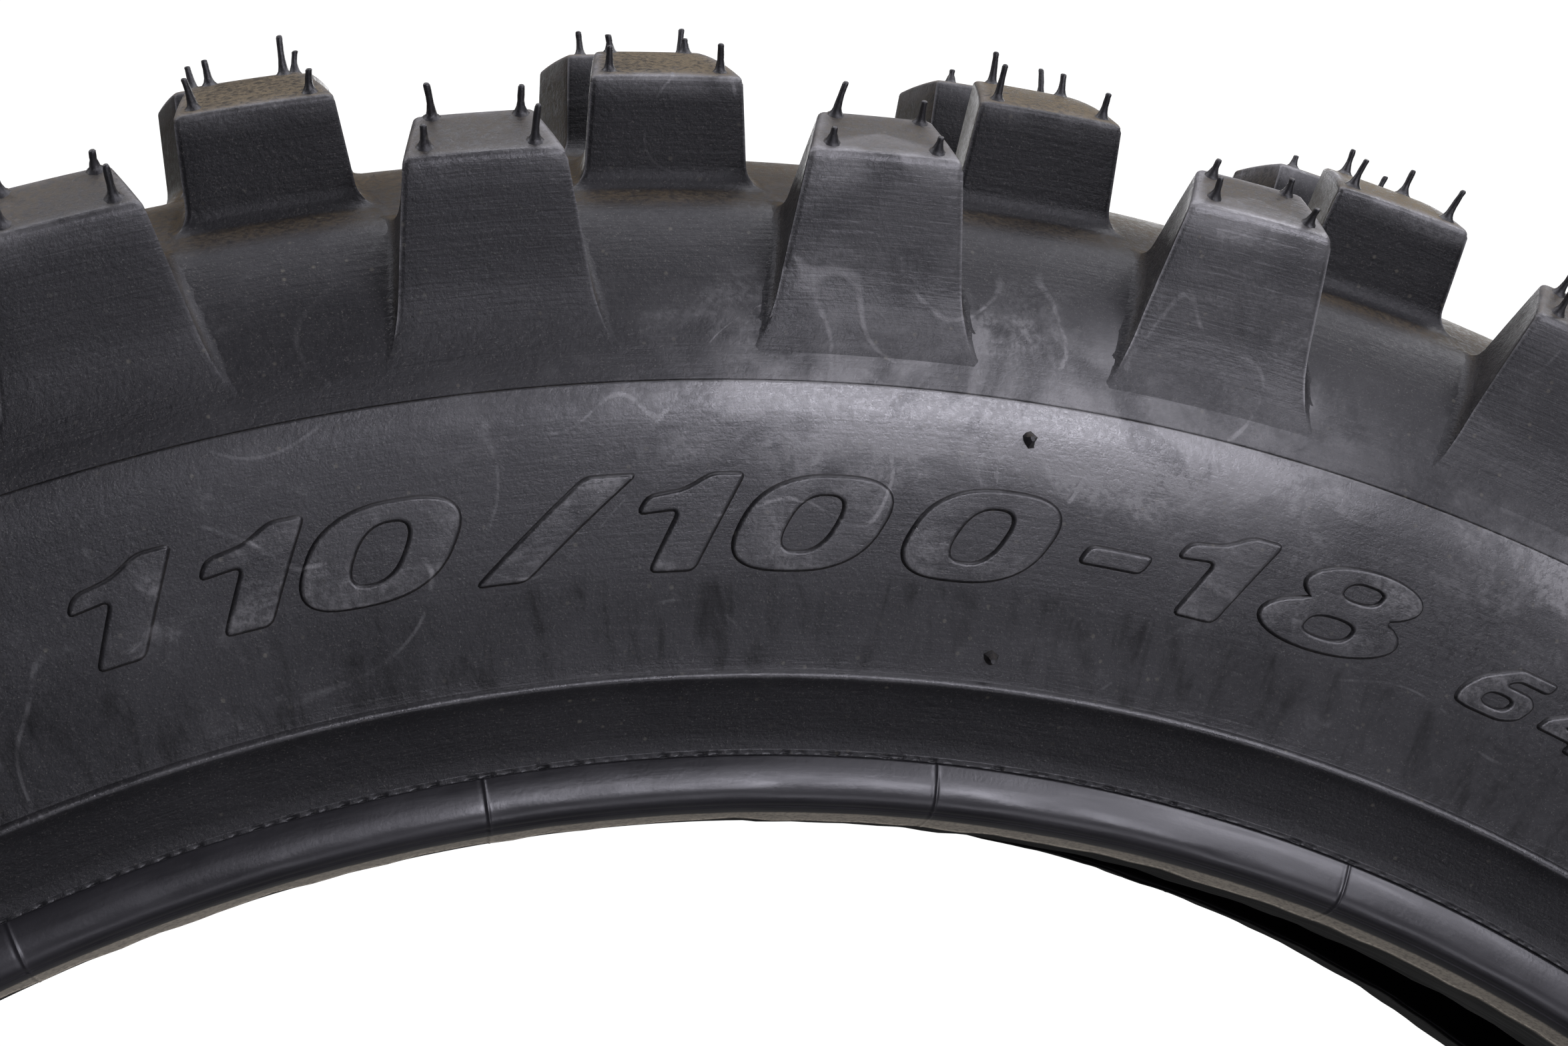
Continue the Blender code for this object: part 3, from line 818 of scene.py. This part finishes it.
def make_bead(side, label):
    """Bead band: rounded outer face, a fine ridge, the heel, base, toe and the inside up to the liner."""
    band = [(BEAD_Y - 1.2, HEEL_LINE_R - 0.10), (35.16, 238.2), (35.45, 237.3), (35.69, 236.3),
            (35.84, 235.3), (35.90, 234.4), (35.88, 233.6), (35.77, 232.95), (35.60, 232.45),
            (35.38, 232.05), (35.12, 231.72), (34.78, 231.46), (34.42, 231.27), (34.26, 231.10),
            (34.12, 230.93), (33.80, 230.75), (33.30, 230.52), (32.4, 230.22), (31.4, 229.92),
            (30.2, 229.6), (29.3, 229.3), (28.7, 229.10), (25.0, 228.85), (20.6, 228.65), (18.2, 228.55),
            (17.2, 228.75), (16.9, 229.5), (17.5, 232.0), (19.2, 238.3)]
    section = [tuple(p) for p in Curve(band, density=4).points]
    section += [(21.0, 238.3), (21.0, 232.8), (31.8, 232.8), (31.8, 238.6)]
    phases = [random.uniform(0, 2 * math.pi) for _ in range(6)]

    def vents(y, r, a):
        off = (a - VENT_PHASE + 180.0 / VENTS) % (360.0 / VENTS) - 180.0 / VENTS
        rise = 0.14 * np.exp(-(off / 0.045) ** 2) - 0.06 * np.exp(-((off + 0.12) / 0.05) ** 2)
        outside = (y > 28.6) & (r < HEEL_LINE_R - 0.1)
        waves = zip((17, 29, 47, 71, 113, 163), phases)
        wave = sum(0.045 * np.sin(np.radians(a) * count + phase) for count, phase in waves)
        ragged = np.exp(-((y - 29.5) / 3.0) ** 2) * (r < 231) + np.exp(-((y - 18.0) / 2.0) ** 2) * (r < 229)
        highlight = 0.5 * np.exp(-((r - 233.4) / 0.9) ** 2) * (y > 30)
        return y + outside * rise * 0.8 + highlight * wave, r - outside * rise * 0.6 + ragged * wave * 1.6

    turned("bead_skin_" + label, section, side, BEAD_RUBBER, "bead_rubber", vent_angles(),
           ("chafer_" + label,), vents)


def make_flash(side, label):
    """Thin mould flash above the bead band, over a row of small pits."""
    pits, per_pit = 640, 8
    depth = np.zeros(pits * per_pit)
    for k in range(pits):
        deep = max(0.0, random.gauss(0.20, 0.10))
        length = random.choice((3, 4, 5))
        start = k * per_pit + random.choice((0, 1, 2))
        depth[start:start + length] = deep
    depth = (np.roll(depth, 1) + 2 * depth + np.roll(depth, -1)) / 4
    # Place from the band's upper edge, and share of a pit's depth.
    line = [(-0.12, 0.75, 0.0), (0.04, 0.42, 0.0), (0.09, 0.26, 0.0), (0.05, 0.10, 0.3), (0.0, -0.06, 1.0),
            (-0.04, -0.28, 1.0), (-0.07, -0.44, 0.3), (-0.16, -0.50, 0.0), (-0.60, -0.48, 0.0),
            (-1.0, -0.2, 0.0)]
    section = [(BEAD_Y + y, HEEL_LINE_R + r) for y, r, _ in line]
    share = np.array(line)[:, 2:]
    turned("bead_flash_" + label, section, side, CUSHION_RUBBER, "bead_rubber", even_angles(pits * per_pit),
           shape=lambda y, r, a: (y - share * depth[None, :], r))


def make_nubs(side, label):
    """Stubs of torn-off vent hairs on the sidewall and above the rib."""
    points, faces = [], []
    for k in range(6):
        for radius, offset, tall in ((282.1, 5.78, 2.0), (252.9, 5.71, 1.6)):
            degrees = offset + k * 60.0
            s = float(np.interp(radius, SIDE.points[:, 1], SIDE.length))
            ny, nr = SIDE.normal(s)
            y, r = SIDE.at(s)
            out = place(side * ny, nr, degrees) / MM
            base = place(side * y, r, degrees)
            sideways = np.cross(out, (0.0, 1.0, 0.0))
            sideways = np.cross(out, sideways / np.linalg.norm(sideways))
            lean = np.cross(out, sideways)
            bend = (random.gauss(0, 0.5), random.gauss(0, 0.5))
            round_it = circle(NUB_SIDES, sideways, lean)
            lumps = np.array([random.uniform(0.75, 1.25) for _ in range(NUB_SIDES)])[:, None]
            rings = []
            for level, width in NUB_RINGS:
                part = max(level, 0.0)
                centre = out * level * tall + (sideways * bend[0] + lean * bend[1]) * part ** 2
                rings.append(base + (centre + width * 0.80 * lumps * round_it) * MM)
            faces += tube_faces(len(rings), NUB_SIDES, len(points) * len(rings) * NUB_SIDES)
            points.append(np.array(rings).reshape(-1, 3))
    add_piece("vent_nubs_" + label, np.concatenate(points), faces, HAIR_RUBBER, "side_rubber")


def make_liner():
    """Inside face of the tyre, with the faint ribs that the curing bladder leaves."""
    middle = Curve([(22.4, 239.4), (22.6, 241.4), (27.5, 246.5), (38.4, 257.0), (42.6, 268.0), (45.6, 289.0),
                    (43.2, 300.2), (34.5, 307.6), (23.4, 313.7), (12.0, 317.3), (0.0, CROWN_R)], density=7)
    s = np.linspace(0, middle.length[-1], 44)
    y, r = middle.at(s)
    ny, nr = middle.normal(s)
    ny, nr = np.where(y < 1, 0.0, ny), np.where(y < 1, 1.0, nr)
    # Thicker under the tread, where the flat facets of the ply behind it come further in.
    depth = 2.3 + 3.4 * np.clip((r - 282) / 12, 0, 1)
    inner = list(zip(y - depth * ny, r - depth * nr))
    outer = list(zip(y - 1.4 * ny, r - 1.4 * nr))[::3]
    outer[-1] = (0.0, CROWN_R - 1.4)
    loop = inner + mirrored(inner)[-2::-1] + mirrored(outer) + outer[-2::-1]

    def bladder_ribs(y, r, a):
        return y, r + 0.10 * np.sin(np.radians(a) * (3 * PITCHES)) * (r > 262)

    turned("inner_liner_skin", loop, 1, LINER_RUBBER, "liner_rubber", even_angles(12 * PITCHES),
           ("inner_liner",), bladder_ribs)


# ---- numerals

CAP = 12.9                      # height of the size numerals
SMALL_CAP = 8.0
LINE_R = 269.0                  # radius at which the numerals are spaced
SLANT = 0.52


def super_ellipse(cx, cy, half_w, half_h, power=2.6, steps=56):
    t = np.arange(steps) * 2 * math.pi / steps
    c, s = np.cos(t), np.sin(t)
    return np.stack([cx + half_w * np.sign(c) * np.abs(c) ** (2 / power),
                     cy + half_h * np.sign(s) * np.abs(s) ** (2 / power)], axis=1)


def soft_polygon(corners, radius=0.085, spacing=0.05):
    """Closed outline with rounded corners and close, even points."""
    corners = [np.array(c, float) for c in corners]
    points = []
    for k, corner in enumerate(corners):
        before, after = corners[k - 1], corners[(k + 1) % len(corners)]
        cut = min(radius, np.hypot(*(before - corner)) / 2.2, np.hypot(*(after - corner)) / 2.2)
        one, two = corner + unit(before - corner) * cut, corner + unit(after - corner) * cut
        for t in np.linspace(0, 1, 5):
            points.append((1 - t) ** 2 * one + 2 * t * (1 - t) * corner + t * t * two)
    dense = []
    for k, point in enumerate(points):
        after = points[(k + 1) % len(points)]
        pieces = max(1, int(np.hypot(*(after - point)) / spacing))
        dense += [point + (after - point) * j / pieces for j in range(pieces)]
    return np.array(dense)


def star_union(shapes, centre, steps=96):
    """Outline of overlapping ovals, as seen from a point inside them all."""
    points = []
    for k in range(steps):
        t = 2 * math.pi * k / steps
        direction = np.array([math.cos(t), math.sin(t)])
        reach = 0.0
        for cx, cy, half_w, half_h in shapes:
            offset = (np.array(centre) - (cx, cy)) / (half_w, half_h)
            d = direction / (half_w, half_h)
            b, c = offset @ d, offset @ offset - 1
            root = b * b - (d @ d) * c
            if root >= 0:
                reach = max(reach, (-b + math.sqrt(root)) / (d @ d))
        points.append(np.array(centre) + direction * reach)
    return np.array(points)


def glyph(character):
    """Outer outline and holes of one numeral, one unit tall, upright and centred."""
    if character == "0":
        return super_ellipse(0, 0.5, 0.75, 0.5), [super_ellipse(0, 0.5, 0.25, 0.29)]
    if character == "1":
        return soft_polygon([(-0.19, 0), (0.29, 0), (0.30, 1), (-0.05, 1), (-0.24, 0.84), (-0.59, 0.78),
                             (-0.60, 0.59), (-0.19, 0.63)]), []
    if character == "/":
        return soft_polygon([(-0.60, 0), (-0.07, 0), (0.60, 1), (0.07, 1)]), []
    if character == "-":
        return soft_polygon([(-0.36, 0.36), (0.36, 0.36), (0.36, 0.57), (-0.36, 0.57)]), []
    if character == "8":
        outer = star_union([(0.0, 0.29, 0.80, 0.30), (0.02, 0.74, 0.66, 0.27)], (0.0, 0.52))
        return outer, [super_ellipse(0.0, 0.28, 0.26, 0.12), super_ellipse(0.02, 0.735, 0.20, 0.10)]
    if character == "6":
        outer = soft_polygon([(-0.62, 0.05), (-0.30, 0), (0.34, 0), (0.62, 0.14), (0.64, 0.46), (0.42, 0.62),
                              (-0.12, 0.63), (0.02, 0.78), (0.60, 0.77), (0.60, 1.0), (-0.16, 1.0),
                              (-0.62, 0.62), (-0.72, 0.30)], 0.12)
        return outer, [super_ellipse(0.0, 0.31, 0.25, 0.13)]
    outer = soft_polygon([(0.12, 0), (0.50, 0), (0.50, 0.18), (0.70, 0.18), (0.70, 0.40), (0.50, 0.40),
                          (0.50, 1.0), (0.05, 1.0), (-0.62, 0.42), (-0.62, 0.18), (0.12, 0.18)])
    return outer, [soft_polygon([(-0.22, 0.40), (0.14, 0.40), (0.14, 0.72)], 0.03)]


# Numeral, place of its middle along the wall in millimetres, height and foot radius.
NUMERALS = [("1", -88.6, CAP, 262.9), ("1", -72.4, CAP, 262.7), ("0", -57.0, CAP, 262.5),
            ("/", -34.6, CAP, 262.5), ("1", -16.8, CAP, 262.4), ("0", -0.6, CAP, 262.3),
            ("0", 22.6, CAP, 262.3), ("-", 42.0, CAP, 262.5), ("1", 57.2, CAP, 262.9),
            ("8", 75.4, CAP, 263.2), ("6", 102.0, SMALL_CAP, 263.4), ("4", 114.6, SMALL_CAP, 263.4)]
# How far each ring of a numeral's edge lies inside its outline, and its height over the wall.
RELIEF = [(-0.30, -0.30), (-0.13, 0.0), (0.01, 0.20), (0.11, 0.35), (0.24, 0.45), (0.40, 0.50),
          (0.56, 0.505)]


def inset_loop(loop, distance):
    """Closed loop moved to its own left by distance."""
    tangent = np.roll(loop, -1, axis=0) - np.roll(loop, 1, axis=0)
    tangent = tangent / np.hypot(tangent[:, 0], tangent[:, 1])[:, None]
    return loop + np.stack([-tangent[:, 1], tangent[:, 0]], axis=1) * distance


def wrap_on_side(side, loop, rise, foot_r, middle):
    """Flat outline in millimetres, laid on the sidewall and raised by rise."""
    s = float(np.interp(foot_r, SIDE.points[:, 1], SIDE.length)) + loop[:, 1]
    y, r = SIDE.at(s)
    ny, nr = SIDE.normal(s)
    reading = 1 if side < 0 else -1
    degrees = middle + np.degrees(loop[:, 0] / LINE_R)
    return place(side * (y + ny * rise), r + nr * rise, reading * degrees)


def raise_glyph(bm, side, character, size, foot_r, middle):
    """One numeral as a closed solid whose upper edges are rounded."""
    outer, holes = glyph(character)
    upper, lower = [], []
    for loop in [outer] + [hole[::-1] for hole in holes]:
        loop = loop * size
        loop[:, 0] += SLANT * (loop[:, 1] - size / 2)
        rings = []
        for inset, rise in RELIEF:
            points = wrap_on_side(side, inset_loop(loop, inset), rise, foot_r, middle)
            rings.append([bm.verts.new(p) for p in points])
        count = len(loop)
        for low, high in zip(rings, rings[1:]):
            for j in range(count):
                n = (j + 1) % count
                bm.faces.new((low[j], low[n], high[n], high[j]))
        for edges, ring in ((upper, rings[-1]), (lower, rings[0])):
            edges += [bm.edges.get((ring[j], ring[(j + 1) % count])) for j in range(count)]
    for edges in (upper, lower):
        bmesh.ops.triangle_fill(bm, edges=edges, use_beauty=True)


def above_wall(point):
    """How far a point of a numeral stands out from the sidewall, in millimetres."""
    r = math.hypot(point.x, point.z) / MM
    s = float(np.interp(r, SIDE.points[:, 1], SIDE.length))
    ny, _ = SIDE.normal(s)
    return (abs(point.y) / MM - float(SIDE.at(s)[0])) * float(ny)


def make_numerals(side, label):
    """Plain size numerals in low relief, twice round each side."""
    bm = bmesh.new()
    for turn in (0.0, 180.0):
        for character, centre, size, foot_r in NUMERALS:
            raise_glyph(bm, side, character, size, foot_r, math.degrees(centre / LINE_R) + turn)
    bmesh.ops.recalc_face_normals(bm, faces=bm.faces)
    mesh = bpy.data.meshes.new("size_numerals_" + label)
    bm.to_mesh(mesh)
    bm.free()
    worn_and_highlight = np.array([0.22 if above_wall(v.co) > 0.4 else 0.0 for v in mesh.vertices])
    finish_piece(mesh, SIDE_RUBBER, "side_rubber", wear=worn_and_highlight)


# ---- the hidden layers

def dress_hidden_layers():
    """Materials of the carcass, beads and other layers under the rubber skin."""
    cord = cord_fabric("carcass_cord", (0.30, 0.25, 0.19), 1.0)
    breaker = cord_fabric("breaker_cord", (0.34, 0.27, 0.18), -0.7)
    tape = cord_fabric("bead_tape", (0.42, 0.38, 0.31), 3.0)
    wire = bead_wire()
    under = rubber("under_rubber", dust=0.0, scuff_and_highlight=0.0)
    filler = rubber("filler_rubber", dust=0.0, scuff_and_highlight=0.2)
    looks = {"inner_ply": cord, "outer_ply": cord, "breaker_inner": breaker, "breaker_outer": breaker,
             "tread_base": under}
    for label in ("left", "right"):
        looks["bead_filler_" + label] = filler
        looks["bead_wrap_" + label] = tape
        looks["bead_hoop_" + label] = wire
    for node, material in looks.items():
        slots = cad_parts[node].data.materials
        slots.clear()
        slots.append(material)


# ---- studio

FLOOR_REACH = 1.6


def make_studio():
    """Pale floor under the tyre, a white surround and soft lights."""
    ground = cad_box[0].z - 0.0005
    turns = np.arange(64) * math.pi / 32
    rim = [Vector((FLOOR_REACH * math.cos(t), FLOOR_REACH * math.sin(t), ground)) for t in turns]
    mesh = bpy.data.meshes.new("studio_floor")
    mesh.from_pydata(rim, [], [tuple(range(64))])
    mesh.materials.append(floor_material())
    floor = bpy.data.objects.new("studio_floor", mesh)
    bpy.context.collection.objects.link(floor)

    world = bpy.data.worlds.new("studio")
    bpy.context.scene.world = world
    world.use_nodes = True
    tree = world.node_tree
    background = tree.nodes["Background"]
    background.inputs["Color"].default_value = (1.0, 1.0, 1.0, 1.0)
    rays = tree.nodes.new("ShaderNodeLightPath")
    strength = tree.nodes.new("ShaderNodeMapRange")
    strength.inputs["To Min"].default_value = 0.03
    strength.inputs["To Max"].default_value = 1.1
    tree.links.new(rays.outputs["Is Camera Ray"], strength.inputs["Value"])
    tree.links.new(strength.outputs[0], background.inputs["Strength"])

    # Name, azimuth from the front towards +X, elevation, distance, width, height and power in watts.
    lights = [("key", 13, 0, 1.6, 0.46, 0.32, 9.0), ("key_right", 36, 18, 1.6, 0.60, 0.50, 9.0),
              ("front_high", 30, 60, 1.6, 0.70, 0.50, 4.5), ("overhead", 0, 90, 1.6, 1.20, 1.20, 16.5),
              ("left", -90, 45, 1.6, 0.70, 0.50, 8.5), ("left_low", -90, 10, 1.6, 0.70, 0.50, 2.0),
              ("right", 90, 50, 1.6, 0.70, 0.50, 9.0), ("back_right", 150, 22, 1.6, 0.80, 0.60, 8.0),
              ("back", 183, 14, 1.6, 0.90, 0.50, 9.0), ("front_low", 30, -45, 0.82, 0.60, 0.28, 0.32)]
    middle = Vector((0.0, 0.0, 0.28))
    for name, azimuth, elevation, distance, width, height, power in lights:
        around, above = math.radians(azimuth), math.radians(elevation)
        level = math.cos(above)
        away = Vector((math.sin(around) * level, -math.cos(around) * level, math.sin(above)))
        data = bpy.data.lights.new(name, "AREA")
        data.shape = "RECTANGLE"
        data.size = width
        data.size_y = height
        data.energy = power
        if elevation < 0:
            data.spread = math.radians(90)    # keeps this light off the floor beside it
        light = bpy.data.objects.new(name, data)
        light.location = middle + away * distance
        light.rotation_euler = away.to_track_quat("Z", "Y").to_euler()
        light.visible_camera = False
        bpy.context.collection.objects.link(light)


def make_camera():
    """Close to the left side, a little in front of the upper bead and looking slightly up."""
    yaw, pitch, roll = math.radians(-11.738), math.radians(5.045), math.radians(1.017)
    forward = Vector((-math.sin(yaw) * math.cos(pitch), math.cos(yaw) * math.cos(pitch), math.sin(pitch)))
    right = Vector((math.cos(yaw), math.sin(yaw), 0.0))
    up = right.cross(forward)
    x = math.cos(roll) * right + math.sin(roll) * up
    y = -math.sin(roll) * right + math.cos(roll) * up
    data = bpy.data.cameras.new("camera")
    data.sensor_width = 36.0
    data.lens = 53.53
    data.clip_start = 0.01
    camera = bpy.data.objects.new("camera", data)
    turn = Matrix((x, y, -forward)).transposed().to_4x4()
    camera.matrix_world = Matrix.Translation((-0.06642, -0.34567, 0.24155)) @ turn
    bpy.context.collection.objects.link(camera)
    bpy.context.scene.camera = camera


bpy.context.scene.view_settings.view_transform = "Standard"
make_camera()
make_studio()
make_tread_floor()
for knob_side, knob_label in ((-1, "left"), (1, "right")):
    make_knobs(SHOULDER, knob_side, "shoulder_knobs_" + knob_label, FIRST_ROW, SHOULDER_RUBBER)
    make_knobs(MIDDLE, knob_side, "middle_knobs_" + knob_label, FIRST_ROW - PITCH / 2, SHADED_CROWN_RUBBER)
    make_side(knob_side, knob_label)
    make_numerals(knob_side, knob_label)
    make_nubs(knob_side, knob_label)
make_knobs(CENTRE, 1, "centre_knobs", FIRST_ROW - PITCH / 2, SHADED_CROWN_RUBBER)
make_hairs()
make_liner()
dress_hidden_layers()
